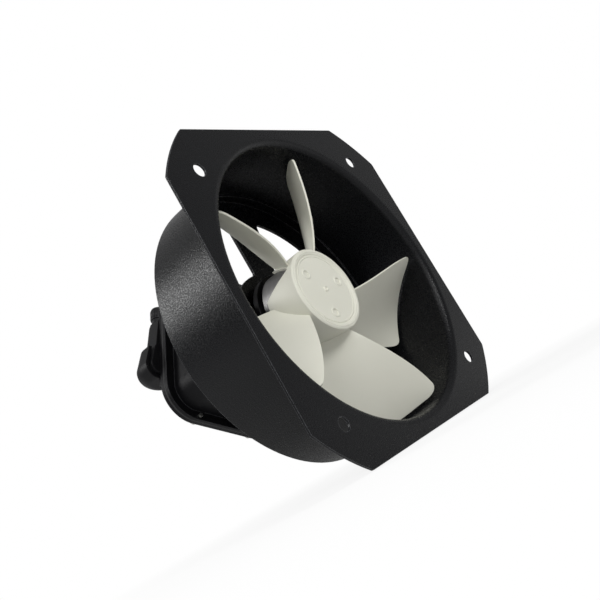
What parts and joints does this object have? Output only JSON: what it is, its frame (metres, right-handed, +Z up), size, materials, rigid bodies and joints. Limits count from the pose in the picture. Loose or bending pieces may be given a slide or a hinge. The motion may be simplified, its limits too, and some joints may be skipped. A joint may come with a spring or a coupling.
{
  "type": "combustion air fan",
  "caption": "Panel-mounted axial fan: square flange with rolled inlet, twisted-blade impeller on an external-rotor motor, windowed bracket and rear terminal housing.",
  "frame": {"origin": "centre of the flange's front face, on the impeller's axis", "axes": "+Y along the impeller's axis from the inlet to the rear cover, +X to the right and +Z up along the flange's sides, seen from the front"},
  "size_m": [0.225, 0.1664, 0.225],
  "materials": {
    "coated_steel": "fine-grained black powder coat, satin",
    "white_moulding": "glass-filled moulding, matt",
    "drawn_steel": "zinc plated, brushed",
    "laminations": "stacked electrical steel",
    "cast_aluminium": "as cast",
    "nylon": "natural nylon",
    "copper": "enamelled copper wire",
    "bright_steel": "ground",
    "black_casting": "black coated casting, semi gloss",
    "seal_rubber": "matt",
    "black_moulding": "semi gloss",
    "dark_nylon": "satin",
    "zinc_screws": "zinc plated"
  },
  "bodies": {
    "frame": {"housing": "coated_steel", "motor_bracket": "coated_steel", "motor_flange": "cast_aluminium", "stator_core": "laminations", "stator_insulators": "nylon", "windings": "copper", "preload_washer": "bright_steel", "rear_housing": "black_casting", "cover_gasket": "seal_rubber", "rear_cover": "black_casting", "capacitor": "black_moulding", "capacitor_strap": "drawn_steel", "terminal_box": "black_moulding", "terminal_cover": "black_moulding", "terminal_block": "nylon", "gland_body": "dark_nylon", "gland_nut": "dark_nylon", "gland_seal": "seal_rubber", "motor_screws": "zinc_screws", "cover_screws": "zinc_screws", "strap_screws": "zinc_screws", "terminal_cover_screws": "zinc_screws", "clamp_screws": "zinc_screws", "front_bearing_outer_ring": "bright_steel", "rear_bearing_outer_ring": "bright_steel"},
    "rotor": {"impeller": "white_moulding", "rotor_cup": "drawn_steel", "rotor_core": "laminations", "rotor_end_rings": "cast_aluminium", "shaft": "bright_steel", "circlip": "bright_steel", "front_bearing_inner_ring": "bright_steel", "rear_bearing_inner_ring": "bright_steel", "front_bearing_balls": "bright_steel", "rear_bearing_balls": "bright_steel"}
  },
  "joints": [
    {"name": "impeller_spin", "type": "hinge", "parent": "frame", "child": "rotor", "pos_m": [0, 0.03, 0], "axis": [0, 1, 0], "continuous": true}
  ]
}
